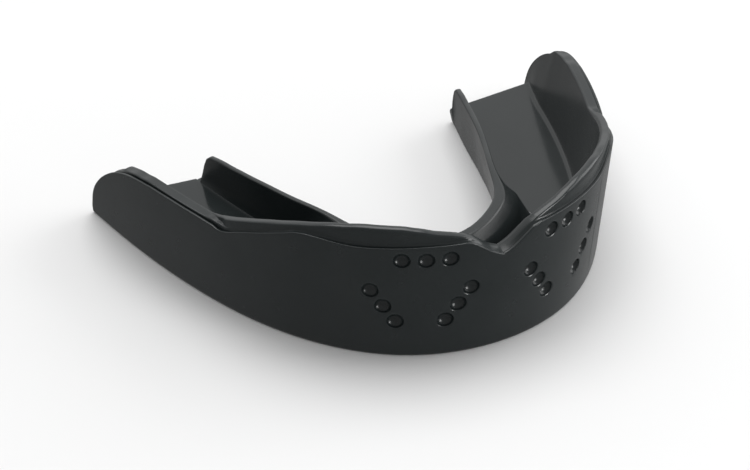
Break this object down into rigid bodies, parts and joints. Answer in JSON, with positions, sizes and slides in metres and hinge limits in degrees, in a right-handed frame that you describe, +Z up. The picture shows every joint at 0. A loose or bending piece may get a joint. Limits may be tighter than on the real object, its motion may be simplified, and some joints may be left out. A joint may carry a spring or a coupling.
{
  "type": "mouthguard",
  "caption": "Moulded sports mouthguard for the upper teeth: a thin tray with a tongue-side flange, molar pads and a bonded outer layer with a perforated front.",
  "frame": {"origin": "bottom centre of the guard's box, on the plane of the flat underside", "axes": "+X across the arch to the right arm, -Y towards the front teeth, +Z up from the underside"},
  "size_m": [0.0622, 0.0459, 0.018],
  "materials": {
    "tray_plastic": "satin moulded thermoplastic",
    "outer_layer_plastic": "satin moulded thermoplastic"
  },
  "bodies": {
    "root": {"inner_tray": "tray_plastic", "front_brace": "outer_layer_plastic", "left_side_panel": "outer_layer_plastic", "right_side_panel": "outer_layer_plastic", "left_bite_pad": "tray_plastic", "right_bite_pad": "tray_plastic"}
  },
  "joints": []
}
